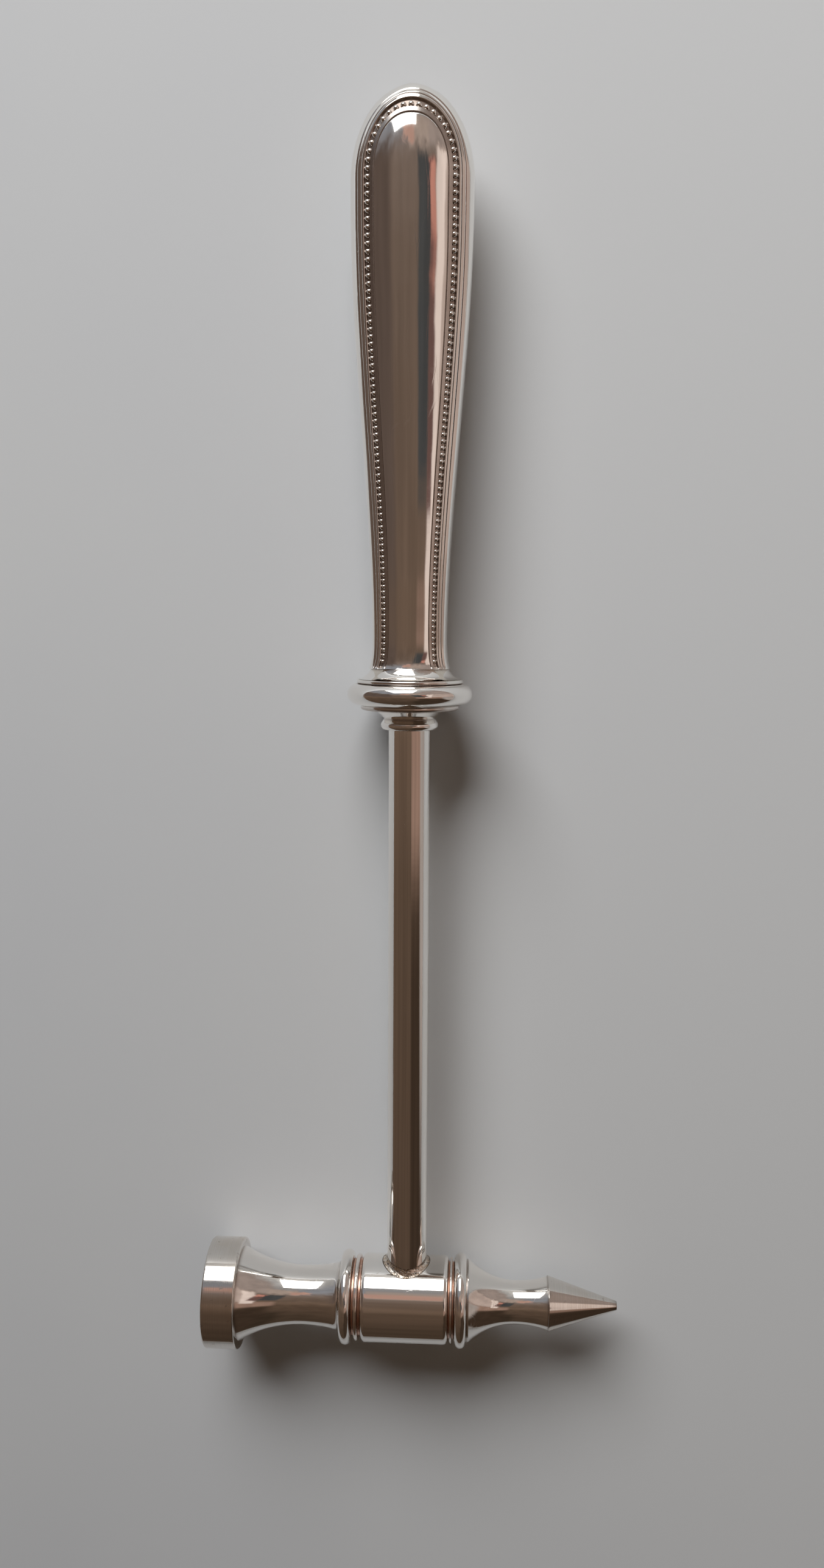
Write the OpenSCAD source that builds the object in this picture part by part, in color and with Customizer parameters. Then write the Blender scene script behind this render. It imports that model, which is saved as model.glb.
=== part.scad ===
// Bar hammer for breaking ice: a turned double-ended head on a round steel rod,
// with a moulded collar and a hollow beaded handle.
// The tool lies flat: +Y runs to the handle's round end, +X to the pick's point, +Z up.
// The origin is under the middle of the tool, on the surface that it lies on.

/* [Head] */
// Distance from the rod's axis to the flat striking face
face_reach = 40; // [36:0.5:48]
// Distance from the rod's axis to the pick's blunt tip
pick_reach = 42.2; // [38:0.1:50]
// Diameter of the striking disc
disc_d = 21.2; // [19:0.1:22]
// Thickness of the striking disc
disc_t = 6.5; // [5:0.1:8]
// Diameter of the barrel that the rod goes into
barrel_d = 16.8; // [16:0.1:17]
// Distance from the rod's axis to the barrel's end on the striking side
barrel_face = 9; // [8:0.1:10]
// Distance from the rod's axis to the barrel's end on the pick side
barrel_pick = 8.5; // [8:0.1:10]
// Diameter over the turned bead at each end of the barrel
bead_d = 17.4; // [17:0.1:18.6]
// Smallest diameter of the neck behind the striking disc
face_waist_d = 11.3; // [9:0.1:12]
// Smallest diameter of the neck behind the pick
pick_waist_d = 8.2; // [7.6:0.1:10]
// Diameter of the pick's cone where it leaves the neck
cone_base_d = 10.4; // [9.8:0.1:12]
// Length of the pick's cone
cone_len = 13.9; // [12:0.1:16]
// Diameter of the flat on the pick's tip
cone_tip_d = 1.7; // [1:0.1:3]

/* [Rod] */
// Diameter of the rod between head and collar
rod_d = 7.94; // [6:0.01:9]
// Diameter of the threaded tang inside the handle
tang_d = 5; // [4:0.1:6]
// Diameter of the stud that ties the head's pieces together
stud_d = 4.8; // [4:0.1:5]

/* [Collar] */
// Distance from the head's axis to the ferrule's lower edge
collar_y = 115.7; // [90:0.1:140]
// Diameter of the ferrule's lower edge
ferrule_low_d = 10.9; // [10.5:0.1:13]
// Diameter of the ferrule's upper edge
ferrule_top_d = 13; // [11:0.1:14]
// Diameter of the thin flange above the ferrule
flange_d = 18.5; // [17:0.1:20]
// Diameter over the large rounded ring
bolster_d = 23.6; // [23:0.1:26]
// Diameter of the lip where the cove starts
lip_d = 20; // [18:0.1:21]

/* [Handle] */
// Length of the hollow handle above the collar
handle_len = 102.2; // [85:0.1:120]
// Width across the handle's widest place
belly_w = 22.2; // [20:0.1:25]
// Width across the handle's waist
waist_w = 13.9; // [13:0.1:16]
// Thickness at the widest place
belly_t = 12; // [11:0.1:16]
// Thickness at the waist
waist_t = 12.9; // [12.4:0.1:14]
// Length of the round arch at the end
arch_len = 16; // [12:0.1:20]
// Thickness of the stamped metal
wall = 0.8; // [0.6:0.1:1.2]

/* [Hidden] */
$fn = 96;

silver = [0.79, 0.77, 0.73];
steel = [0.62, 0.62, 0.61];
braze = [0.70, 0.60, 0.42];
cement = [0.28, 0.24, 0.21];

slack = 0.02;             // play between a shank and its bore, on the radius

// head, measured along X from the rod's axis
barrel_round = 1;
groove_r = barrel_d / 2 - 1;
fin_r = barrel_d / 2 - 0.25;
bead_r = 1.25;            // radius of the bead's own section
bead_gap = 0.1;
face_spacer_w = 1.7;
face_fin_w = 0.8;
pick_spacer_w = 1;
pick_fin_w = 0.45;
neck_face_x = barrel_face + face_spacer_w;
neck_pick_x = barrel_pick + pick_spacer_w;
disc_back_x = face_reach - disc_t;
cone_base_x = pick_reach - cone_len;
face_waist_x = disc_back_x - 12.6;
pick_waist_x = cone_base_x - 6.3;
face_start_r = 6.6;       // neck radius beside the bead, striking side
face_flare_r = 9;         // neck radius where it meets the disc
pick_start_r = 8.05;      // neck radius beside the bead, pick side
pick_end_r = cone_base_d / 2 - 0.15;
disc_edge = 0.2;          // chamfer round the disc
stud_grip = 4;            // how far the stud goes into the disc and the cone

// rod and collar, measured along Y from the head's axis
foot_y = -4.5;
foot_gap = 0.2;
shoulder_y = collar_y + 1;
flange_y = collar_y + 3.7;
flange_t = 1;
bolster_y = flange_y + flange_t;
bolster_t = 3.9;
cap_y = bolster_y + bolster_t;
cap_t = 2.9;
cap_top_r = 7.25;
cove_a = 35;              // where on its quarter-ellipse the cove starts
lip_t = 0.9;
spigot_r = 5;
spigot_len = 3.5;
shell_y = cap_y + cap_t;
washer_r = 4.9;
washer_y = shell_y + spigot_len;
nut_across = 8;
nut_t = 4;
nut_y = washer_y + 1;
tang_y = nut_y + nut_t + 3;

// braze fillet at the rod's foot
braze_low_y = 6;
braze_top_y = barrel_d / 2 + 1.8;
braze_r = rod_d / 2 + 1.2;

// handle, measured along Y from the head's axis
tip_y = shell_y + handle_len;
arch_y = tip_y - arch_len;
waist_y = shell_y + 2.8;
belly_y = arch_y - 3.4;
flare = 0.7;              // extra half-width just above the collar
low_n = 2.9;              // fullness of the handle's section at its waist
high_n = 1.9;             // and at its widest place
tip_n = 2.6;              // fullness of its end, seen from the side
round_n = 20;             // facets over half of the section
lower_y = [0, 0.3, 0.9, 2, 3.5, 5];
step_y = 5.2;
body_y = concat([for (y = lower_y) shell_y + y], [for (y = [shell_y + 10 : step_y : arch_y - 2]) y],
    [arch_y]);
arch_a = [for (a = [10 : 10 : 80]) a];
rings = len(body_y) + len(arch_a);
core_gap = 0.1;           // between the shells and their filling

// the tool's middle, and how high its axis lies
mid_x = (pick_reach - face_reach) / 2;
mid_y = (tip_y - disc_d / 2) / 2;
rest_z = bolster_d / 2;

module place() { translate([-mid_x, -mid_y, rest_z]) children(); }
// turn a profile of [distance along the axis, radius] about the head's axis
module turn_x() { rotate([0, 90, 0]) rotate_extrude() rotate(90) mirror([0, 1]) children(); }
// the same about the rod's axis
module turn_y() { rotate([-90, 0, 0]) rotate_extrude() rotate(90) mirror([0, 1]) children(); }
module rod_x(r, x0, x1) { translate([x0, 0, 0]) rotate([0, 90, 0]) cylinder(r = r, h = x1 - x0); }
module rod_y(r, y0, y1) { translate([0, y0, 0]) rotate([-90, 0, 0]) cylinder(r = r, h = y1 - y0); }

// a hollow arc of n points that starts level at radius r0 and climbs to radius r1
function arc_r(dx, dr) = (dx * dx + dr * dr) / (2 * dr);
function hollow(x0, r0, x1, r1, n = 14) = let (q = arc_r(x1 - x0, r1 - r0))
    [for (i = [1 : n]) let (d = (x1 - x0) * i / n) [x0 + d, r0 + q - sqrt(q * q - d * d)]];
function backwards(p) = [for (i = [len(p) - 1 : -1 : 0]) p[i]];
// a quarter-round corner, from angle a0 to a1
function corner(x, y, r, a0, a1, n = 6) =
    [for (i = [0 : n]) let (a = a0 + (a1 - a0) * i / n) [x + r * cos(a), y + r * sin(a)]];

// the handle's outline: t runs from 0 to 1 with no slope at either end
function ease(t) = let (u = max(0, min(1, t))) u * u * (3 - 2 * u);
function blend(low, high, y) = low + (high - low) * ease((y - waist_y) / (belly_y - waist_y));
function swell(low, high, y) = blend(low, high, y) / 2;
function foot(y) = flare * exp((shell_y - y) / 1.5);
// one ring: [y, half-width, half-thickness], set in from the outside by d
function body_ring(y, d) = [y, swell(waist_w, belly_w, y) + foot(y) - d,
    swell(waist_t, belly_t, y) + foot(y) - d];
function arch_ring(a, d) = [arch_y + (arch_len - d) * sin(a), (belly_w / 2 - d) * cos(a),
    (belly_t / 2 - d) * pow(1 - pow(sin(a), tip_n), 1 / tip_n)];
function all_rings(d) = concat([for (y = body_y) body_ring(y, d)], [for (a = arch_a) arch_ring(a, d)]);
function full(v, n) = sign(v) * pow(abs(v), 2 / n);
function on_ring(q, a) = let (n = blend(low_n, high_n, q[0]))
    [q[1] * full(cos(a), n), q[0], q[2] * full(sin(a), n)];
// two triangles for the four corners a b c d
function quad(a, b, c, d) = [[a, b, c], [a, c, d]];
function flat(list) = [for (group = list, item = group) item];

module striking_disc() color(steel) place() mirror([1, 0, 0]) difference() {
    turn_x() polygon([[disc_back_x, 0], [disc_back_x, disc_d / 2 - disc_edge],
        [disc_back_x + disc_edge, disc_d / 2], [face_reach - disc_edge, disc_d / 2],
        [face_reach, disc_d / 2 - disc_edge], [face_reach, 0]]);
    rod_x(stud_d / 2 + slack, disc_back_x - 1, disc_back_x + stud_grip + slack);
}

// the bead stands on the start of the neck; outline holds the rest of the neck's points
module neck(x0, outline, x1) difference() {
    union() {
        turn_x()
            polygon(concat([[x0, 0], [x0, groove_r], [x0 + 2 * bead_r, groove_r]], outline, [[x1, 0]]));
        turn_x() translate([x0 + bead_gap + bead_r, bead_d / 2 - bead_r]) circle(r = bead_r);
    }
    rod_x(stud_d / 2 + slack, x0 - 1, x1 + 1);
}

module neck_face() color(silver) place() mirror([1, 0, 0]) neck(neck_face_x, concat(
    backwards(hollow(face_waist_x, face_waist_d / 2, neck_face_x + 2 * bead_r, face_start_r)),
    [[face_waist_x, face_waist_d / 2]],
    hollow(face_waist_x, face_waist_d / 2, disc_back_x, face_flare_r)), disc_back_x);

module neck_pick() color(silver) place() neck(neck_pick_x, concat(
    [[neck_pick_x + 2 * bead_r, pick_start_r]],
    backwards(hollow(pick_waist_x, pick_waist_d / 2, neck_pick_x + 2 * bead_r + 0.3, pick_start_r)),
    [[pick_waist_x, pick_waist_d / 2]],
    hollow(pick_waist_x, pick_waist_d / 2, cone_base_x, pick_end_r)), cone_base_x);

// a hub that closes the gap between two pieces, with a thin fin standing round its middle
module spacer(x0, width, fin) difference() {
    union() {
        rod_x(groove_r, x0, x0 + width);
        rod_x(fin_r, x0 + (width - fin) / 2, x0 + (width + fin) / 2);
    }
    rod_x(stud_d / 2 + slack, x0 - 1, x0 + width + 1);
}

module spacer_ring_face() color(silver) place() spacer(-neck_face_x, face_spacer_w, face_fin_w);
module spacer_ring_pick() color(silver) place() spacer(barrel_pick, pick_spacer_w, pick_fin_w);

module head_barrel() color(silver) place() difference() {
    turn_x() polygon(concat([[-barrel_face, 0]],
        corner(-barrel_face + barrel_round, groove_r, barrel_round, 180, 90),
        corner(barrel_pick - barrel_round, groove_r, barrel_round, 90, 0), [[barrel_pick, 0]]));
    rod_x(stud_d / 2 + slack, -barrel_face - 1, barrel_pick + 1);
    rod_y(rod_d / 2 + slack, foot_y - foot_gap, barrel_d);
}

module pick_point() color(steel) place() difference() {
    turn_x() polygon([[cone_base_x, 0], [cone_base_x, cone_base_d / 2 - 0.1],
        [cone_base_x + 0.1, cone_base_d / 2], [pick_reach - 0.15, cone_tip_d / 2],
        [pick_reach, cone_tip_d / 2 - 0.15], [pick_reach, 0]]);
    rod_x(stud_d / 2 + slack, cone_base_x - 1, cone_base_x + stud_grip + slack);
}

module tie_stud() color(steel) place()
    rod_x(stud_d / 2, -disc_back_x - stud_grip, cone_base_x + stud_grip);

// the rod has a cross hole for the stud, and a shoulder where the tang starts
module rod() color(silver) place() difference() {
    union() {
        rod_y(rod_d / 2, foot_y, shoulder_y);
        rod_y(tang_d / 2, shoulder_y, tang_y);
    }
    rod_x(stud_d / 2 + slack, -rod_d, rod_d);
}

// a skirt round the rod's foot, cut to sit on the barrel
module braze_fillet() color(braze) place() difference() {
    turn_y() polygon(concat([[braze_top_y, 0]],
        [[braze_top_y, rod_d / 2 + 0.1]],
        hollow(braze_top_y, rod_d / 2 + 0.1, barrel_d / 2 - 0.6, braze_r, 8),
        [[braze_low_y, braze_r + 0.1], [braze_low_y, 0]]));
    rod_y(rod_d / 2 + slack, 0, braze_top_y + 1);
    rod_x(barrel_d / 2, -barrel_face, barrel_pick);
}

// cuts the tang's bore through a collar piece
module tang_bore() difference() {
    children();
    rod_y(tang_d / 2 + slack, collar_y - 1, tang_y + 1);
}

module ferrule() color(silver) place() tang_bore() difference() {
    turn_y() polygon([[collar_y, 0], [collar_y, ferrule_low_d / 2 - 0.3],
        [collar_y + 0.3, ferrule_low_d / 2], [collar_y + 1.8, ferrule_top_d / 2 - 0.3],
        [flange_y, ferrule_top_d / 2], [flange_y, 0]]);
    rod_y(rod_d / 2 + slack, collar_y - 1, shoulder_y);
}

module flange_ring() color(silver) place() tang_bore() turn_y()
    polygon([[flange_y, 0], [flange_y, flange_d / 2 - 0.6], [flange_y + 0.2, flange_d / 2 - 0.2],
        [flange_y + 0.6, flange_d / 2],
        [flange_y + flange_t - 0.15, flange_d / 2], [flange_y + flange_t, flange_d / 2 - 0.15],
        [flange_y + flange_t, 0]]);

module bolster_ring() color(silver) place() tang_bore() turn_y() {
    translate([bolster_y, 0]) square([bolster_t, (bolster_d - bolster_t) / 2]);
    translate([bolster_y + bolster_t / 2, (bolster_d - bolster_t) / 2]) circle(d = bolster_t);
}

// a lip, a cove that runs up to the shells, and a spigot inside them
function cove(a) = [shell_y - (cap_t - lip_t) * (sin(a) - sin(cove_a)) / (1 - sin(cove_a)),
    cap_top_r + (lip_d / 2 - 0.1 - cap_top_r) * (1 - cos(a) / cos(cove_a))];
module cap_ring() color(silver) place() tang_bore() turn_y()
    polygon(concat([[cap_y, 0], [cap_y, lip_d / 2 - 0.3], [cap_y + 0.3, lip_d / 2],
        [cap_y + lip_t - 0.2, lip_d / 2]],
        [for (a = [90 : -5 : cove_a]) cove(a)],
        [[shell_y, spigot_r], [washer_y, spigot_r], [washer_y, 0]]));

module tang_washer() color(steel) place() tang_bore() rod_y(washer_r, washer_y, nut_y);

module tang_nut() color(steel) place() tang_bore()
    translate([0, nut_y, 0]) rotate([-90, 0, 0]) cylinder(d = nut_across / cos(30), h = nut_t, $fn = 6);

// cement: fills the shells from the washer to the tip
module handle_filler() {
    d = wall + core_gap;
    n = 24;
    stack = concat([body_ring(nut_y, d)], [for (q = all_rings(d)) if (q[0] > nut_y + 0.5) q]);
    top = len(stack) * n;
    color(cement) place() difference() {
        polyhedron(concat(flat([for (q = stack) [for (j = [0 : n - 1]) on_ring(q, 360 * j / n)]]),
            [[0, tip_y - d, 0], [0, nut_y, 0]]),
            flat([[for (i = [0 : len(stack) - 2], j = [0 : n - 1]) let (k = (j + 1) % n)
                each quad(i * n + j, i * n + k, (i + 1) * n + k, (i + 1) * n + j)],
                [for (j = [0 : n - 1]) [top - n + j, top - n + (j + 1) % n, top]],
                [for (j = [0 : n - 1]) [(j + 1) % n, j, top + 1]]]));
        rod_y(tang_d / 2 + slack, nut_y - 1, tang_y + slack);
        translate([0, nut_y - 1, 0]) rotate([-90, 0, 0])
            cylinder(d = (nut_across + 0.1) / cos(30), h = nut_t + 1, $fn = 6);
    }
}

// half of the hollow handle, open at the collar and closed at the arch
module half_shell() {
    m = round_n + 1;
    skin = rings * m;
    out_tip = 2 * skin;
    in_tip = out_tip + 1;
    end = (rings - 1) * m;
    polyhedron(concat(
        flat([for (d = [0, wall], q = all_rings(d))
            [for (j = [0 : round_n]) on_ring(q, 180 * j / round_n)]]),
        [[0, tip_y, 0], [0, tip_y - wall, 0]]),
        flat([
            [for (i = [0 : rings - 2], j = [0 : round_n - 1]) let (p = i * m + j)
                each quad(p, p + 1, p + m + 1, p + m)],
            [for (i = [0 : rings - 2], j = [0 : round_n - 1]) let (p = skin + i * m + j)
                each quad(p, p + m, p + m + 1, p + 1)],
            [for (j = [0 : round_n - 1]) [end + j, end + j + 1, out_tip]],
            [for (j = [0 : round_n - 1]) [skin + end + j + 1, skin + end + j, in_tip]],
            [for (i = [0 : rings - 2]) let (p = i * m) each quad(p, p + m, skin + p + m, skin + p)],
            [for (i = [0 : rings - 2]) let (p = i * m + round_n)
                each quad(skin + p, skin + p + m, p + m, p)],
            quad(end, out_tip, in_tip, skin + end),
            quad(skin + end + round_n, in_tip, out_tip, end + round_n),
            [for (j = [0 : round_n - 1]) each quad(j, skin + j, skin + j + 1, j + 1)]]));
}

module handle_shell_front() color(silver) place() half_shell();
module handle_shell_back() color(silver) place() mirror([0, 0, 1]) half_shell();

striking_disc();
neck_face();
spacer_ring_face();
head_barrel();
spacer_ring_pick();
neck_pick();
pick_point();
tie_stud();
rod();
braze_fillet();
ferrule();
flange_ring();
bolster_ring();
cap_ring();
tang_washer();
tang_nut();
handle_filler();
handle_shell_front();
handle_shell_back();
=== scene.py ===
import math

import bpy
import numpy as np
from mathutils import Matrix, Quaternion, Vector


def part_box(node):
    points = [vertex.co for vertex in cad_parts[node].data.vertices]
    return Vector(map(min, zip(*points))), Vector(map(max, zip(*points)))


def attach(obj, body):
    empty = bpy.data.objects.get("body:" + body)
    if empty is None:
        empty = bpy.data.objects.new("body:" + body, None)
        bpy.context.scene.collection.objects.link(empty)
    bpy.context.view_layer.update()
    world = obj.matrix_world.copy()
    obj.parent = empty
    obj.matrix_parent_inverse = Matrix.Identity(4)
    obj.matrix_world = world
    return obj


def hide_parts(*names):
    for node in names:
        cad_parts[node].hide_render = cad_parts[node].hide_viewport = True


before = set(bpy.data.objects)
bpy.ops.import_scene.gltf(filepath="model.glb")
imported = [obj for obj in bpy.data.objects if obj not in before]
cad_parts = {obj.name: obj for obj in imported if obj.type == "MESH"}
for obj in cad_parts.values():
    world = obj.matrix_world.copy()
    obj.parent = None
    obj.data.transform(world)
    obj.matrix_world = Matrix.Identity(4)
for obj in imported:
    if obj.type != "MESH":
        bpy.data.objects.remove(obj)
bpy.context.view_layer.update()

MM = 0.001


# ---------------------------------------------------------------- places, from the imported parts
# Everything below is in millimetres from the point where the head's axis crosses the rod's axis:
# +X runs to the pick's tip, +Y to the handle's end, +Z up.
def corners(node):
    low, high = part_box(node)
    return np.array(low, float) / MM, np.array(high, float) / MM


barrel_low, barrel_high = corners("head_barrel")
rod_low, rod_high = corners("rod")
ORIGIN = np.array([(rod_low[0] + rod_high[0]) / 2, (barrel_low[1] + barrel_high[1]) / 2,
                   (barrel_low[2] + barrel_high[2]) / 2])


def span(node, axis):
    """Where a node starts and ends along one axis."""
    low, high = corners(node)
    return float(low[axis] - ORIGIN[axis]), float(high[axis] - ORIGIN[axis])


def radius(node, axis=2):
    low, high = corners(node)
    return float(high[axis] - low[axis]) / 2


# ---------------------------------------------------------------- camera
camera = bpy.data.objects.new("camera", bpy.data.cameras.new("camera"))
bpy.context.scene.collection.objects.link(camera)
bpy.context.scene.camera = camera
camera.data.lens = 27.07
camera.data.sensor_width = 36
camera.data.clip_start = 0.01
camera.data.clip_end = 50
camera.location = (0.011473, 0.026285, 0.234134)
turn = Vector((-0.13592, 0.05453, 0.00924))
camera.rotation_mode = "QUATERNION"
camera.rotation_quaternion = Quaternion(turn.normalized(), turn.length)


# ---------------------------------------------------------------- node helpers
class Tree:
    """Builds a node tree with few words."""

    def __init__(self, tree):
        self.tree = tree
        tree.nodes.clear()

    def put(self, kind, inputs=None, **settings):
        """Adds a node. Each input is a constant or the output socket that feeds it."""
        node = self.tree.nodes.new(kind)
        for key, value in settings.items():
            setattr(node, key, value)
        for key, value in (inputs or {}).items():
            if isinstance(value, bpy.types.NodeSocket):
                self.tree.links.new(value, node.inputs[key])
            else:
                node.inputs[key].default_value = value
        return node

    def math(self, operation, *values, clamp=False):
        return self.put("ShaderNodeMath", dict(enumerate(values)), operation=operation,
                        use_clamp=clamp).outputs[0]

    def place(self):
        """The place on the mesh, in metres."""
        return self.put("ShaderNodeTexCoord").outputs["Object"]

    def grime(self):
        """What the mesh carries as grime: 0 is clean, 1 is where polish and tarnish stay behind."""
        return self.put("ShaderNodeAttribute", attribute_name="grime").outputs["Fac"]

    def noise(self, vector, scale, detail=2.0, rough=0.5, distortion=0.0):
        return self.put("ShaderNodeTexNoise", {
            "Vector": vector, "Scale": scale, "Detail": detail, "Roughness": rough,
            "Distortion": distortion}).outputs[0]

    def remap(self, value, from_low, from_high, to_low, to_high, smooth=False):
        inputs = {0: value, 1: from_low, 2: from_high, 3: to_low, 4: to_high}
        return self.put("ShaderNodeMapRange", inputs, clamp=True,
                        interpolation_type="SMOOTHSTEP" if smooth else "LINEAR").outputs[0]

    def mix(self, factor, a, b):
        # 6 and 7 are the node's colour inputs, 2 its colour output
        return self.put("ShaderNodeMix", {0: factor, 6: a, 7: b}, data_type="RGBA").outputs[2]

    def bump(self, height, distance, normal=None):
        inputs = {"Height": height, "Distance": distance, "Strength": 1.0}
        if normal is not None:
            inputs["Normal"] = normal
        return self.put("ShaderNodeBump", inputs).outputs[0]

    def finish(self, base, rough, normal, metallic=1.0):
        """Puts a Principled shader on the material's output."""
        shader = self.put("ShaderNodeBsdfPrincipled", {"Base Color": base, "Metallic": metallic,
                                                       "Roughness": rough, "Normal": normal})
        self.put("ShaderNodeOutputMaterial", {"Surface": shader.outputs[0]})


def rgb(r, g, b):
    """A colour given as the eye sees it, 0 to 255, turned to linear light."""
    out = []
    for v in (r, g, b):
        v /= 255
        out.append(v / 12.92 if v <= 0.04045 else ((v + 0.055) / 1.055) ** 2.4)
    return (*out, 1.0)


def new_material(name):
    material = bpy.data.materials.new(name)
    material.use_nodes = True
    return material, Tree(material.node_tree)


# ---------------------------------------------------------------- materials
# Colours are in linear light, noise scales per metre, bump distances in metres (1e-6 is a micrometre).
PLATE, PLATE_WARM = (0.945, 0.925, 0.895, 1), (0.925, 0.895, 0.85, 1)
WARM_FILM = (0.86, 0.66, 0.52, 1)
TARNISH = (0.22, 0.145, 0.105, 1)
BARE_COPPER = (0.62, 0.32, 0.21, 1)
HAIR = 0.02                                     # width of a scratch, as a share of its cell


def hairlines(t, place, turn, squeeze, scale):
    """Thin scratches running one way: the edges of long narrow cells, broken up by noise."""
    cells = t.put("ShaderNodeMapping", {0: place, 2: (0, 0, turn), 3: (1, squeeze, 1)}).outputs[0]
    edge = t.put("ShaderNodeTexVoronoi", {"Vector": cells, "Scale": scale, "Randomness": 1.0},
                 feature="DISTANCE_TO_EDGE").outputs[0]
    line = t.remap(edge, 0.0, HAIR, 1.0, 0.0)
    gate = t.remap(t.noise(cells, scale * 0.6, 1.0), 0.56, 0.66, 0.0, 1.0)
    return t.math("MULTIPLY", line, gate)


def silver(name, film=0.0, copper=0.0, wave=1.0, polish=0.055):
    """Silver plate: how much warm film and bare copper it has, how wavy and how rough it is."""
    material, t = new_material(name)
    place, grime = t.place(), t.grime()
    cloud = t.noise(place, 55.0, 4.0, 0.55)
    fine = t.noise(place, 900.0, 3.0, 0.6)
    patch = t.noise(place, 210.0, 3.0, 0.6)
    scratch = t.math("ADD", hairlines(t, place, 0.12, 0.10, 620.0),
                     hairlines(t, place, 1.25, 0.08, 520.0))
    base = t.mix(t.remap(cloud, 0.3, 0.7, 0.0, 1.0), PLATE, PLATE_WARM)
    # a thin warm film where plate has worn or yellowed
    base = t.mix(t.math("MULTIPLY", t.remap(patch, 0.52, 0.70, 0.0, 1.0, True), film), base, WARM_FILM)
    # tarnish held in the crevices, broken up so that it is never one even tone
    dirt = t.math("MULTIPLY", t.math("MULTIPLY", grime, t.remap(patch, 0.25, 0.7, 0.75, 1.25)),
                  0.9, clamp=True)
    base = t.mix(t.math("MULTIPLY", dirt, 0.8 + copper, clamp=True), base,
                 BARE_COPPER if copper else TARNISH)
    rough = t.math("ADD", t.remap(cloud, 0.3, 0.75, polish * 0.7, polish * 1.5),
                   t.math("MULTIPLY", t.remap(fine, 0.45, 0.8, 0.0, 1.0), 0.035))
    rough = t.math("ADD", rough, t.math("MULTIPLY", scratch, 0.12))
    rough = t.math("ADD", rough, t.math("MULTIPLY", dirt, 0.22))
    dents = t.bump(t.noise(place, 95.0, 1.0), 100e-6 * wave)
    grain = t.bump(fine, 1.2e-6, normal=dents)
    t.finish(base, rough, t.bump(t.math("SUBTRACT", 1.0, scratch), 2.5e-6, normal=grain))
    return material


def turned_steel(name):
    """Steel off the lathe and polished: fine rings round the head's axis, faint stains and spots."""
    material, t = new_material(name)
    place, grime = t.place(), t.grime()
    split = t.put("ShaderNodeSeparateXYZ", {0: place})
    y = t.math("SUBTRACT", split.outputs[1], float(ORIGIN[1]) * MM)
    z = t.math("SUBTRACT", split.outputs[2], float(ORIGIN[2]) * MM)
    out = t.math("SQRT", t.math("ADD", t.math("MULTIPLY", y, y), t.math("MULTIPLY", z, z)))
    rings = t.put("ShaderNodeCombineXYZ", {0: split.outputs[0], 1: out}).outputs[0]
    ring = t.noise(rings, 5200.0, 2.0, 0.7)
    wide = t.noise(rings, 1300.0, 2.0, 0.6)
    cloud = t.noise(place, 130.0, 4.0, 0.6)
    spots = t.remap(t.noise(place, 700.0, 2.0, 0.6), 0.66, 0.74, 0.0, 1.0)
    base = t.mix(t.remap(ring, 0.3, 0.7, 0.0, 1.0), (0.83, 0.80, 0.76, 1), (0.74, 0.71, 0.67, 1))
    base = t.mix(t.remap(cloud, 0.45, 0.7, 0.0, 0.5), base, (0.70, 0.62, 0.53, 1))
    base = t.mix(t.math("MULTIPLY", spots, 0.5), base, (0.30, 0.25, 0.21, 1))
    base = t.mix(t.math("MULTIPLY", grime, 0.85, clamp=True), base, (0.16, 0.13, 0.11, 1))
    rough = t.math("ADD", t.remap(ring, 0.3, 0.7, 0.06, 0.12), t.remap(cloud, 0.4, 0.75, 0.0, 0.07))
    rough = t.math("ADD", rough, t.math("MULTIPLY", t.math("ADD", spots, grime), 0.2))
    t.finish(base, rough, t.bump(ring, 2.2e-6, normal=t.bump(wide, 4e-6)))
    return material


def braze_metal(name):
    """Hard solder, left as it flowed: pale where it was polished over, dark in the pits."""
    material, t = new_material(name)
    place, grime = t.place(), t.grime()
    lump = t.noise(place, 1100.0, 4.0, 0.65, 0.6)
    pits = t.remap(t.noise(place, 2600.0, 3.0, 0.6), 0.54, 0.64, 0.0, 1.0)
    base = t.mix(t.remap(lump, 0.42, 0.66, 0.0, 1.0), (0.88, 0.82, 0.74, 1), (0.52, 0.38, 0.26, 1))
    base = t.mix(t.math("MAXIMUM", pits, grime), base, (0.09, 0.065, 0.05, 1))
    rough = t.math("ADD", t.remap(lump, 0.3, 0.7, 0.10, 0.30), t.math("MULTIPLY", pits, 0.3))
    t.finish(base, rough, t.bump(pits, -30e-6, normal=t.bump(lump, 120e-6)))
    return material


def plain_steel(name):
    """Zinc-bright steel of the hidden fastenings, with a soft spangle and a few stains."""
    material, t = new_material(name)
    place = t.place()
    cells = t.put("ShaderNodeTexVoronoi", {"Vector": place, "Scale": 900.0}).outputs[0]
    cloud = t.noise(place, 260.0, 4.0, 0.6)
    base = t.mix(t.remap(cells, 0.1, 0.7, 0.0, 1.0), (0.62, 0.63, 0.65, 1), (0.50, 0.50, 0.51, 1))
    base = t.mix(t.remap(cloud, 0.5, 0.7, 0.0, 0.6), base, (0.36, 0.31, 0.26, 1))
    t.finish(base, t.remap(cloud, 0.3, 0.7, 0.25, 0.45), t.bump(cloud, 20e-6))
    return material


def cement_grain(name):
    """The dark resin cement that fills a hollow handle, with sand in it."""
    material, t = new_material(name)
    place = t.place()
    sand = t.put("ShaderNodeTexVoronoi", {"Vector": place, "Scale": 1600.0}).outputs[0]
    cloud = t.noise(place, 180.0, 5.0, 0.6)
    base = t.mix(t.remap(cloud, 0.3, 0.7, 0.0, 1.0), (0.075, 0.055, 0.042, 1), (0.13, 0.10, 0.08, 1))
    base = t.mix(t.remap(sand, 0.0, 0.22, 0.7, 0.0), base, (0.34, 0.30, 0.25, 1))
    t.finish(base, t.remap(cloud, 0.3, 0.7, 0.6, 0.85), t.bump(sand, 100e-6), metallic=0.0)
    return material


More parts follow.
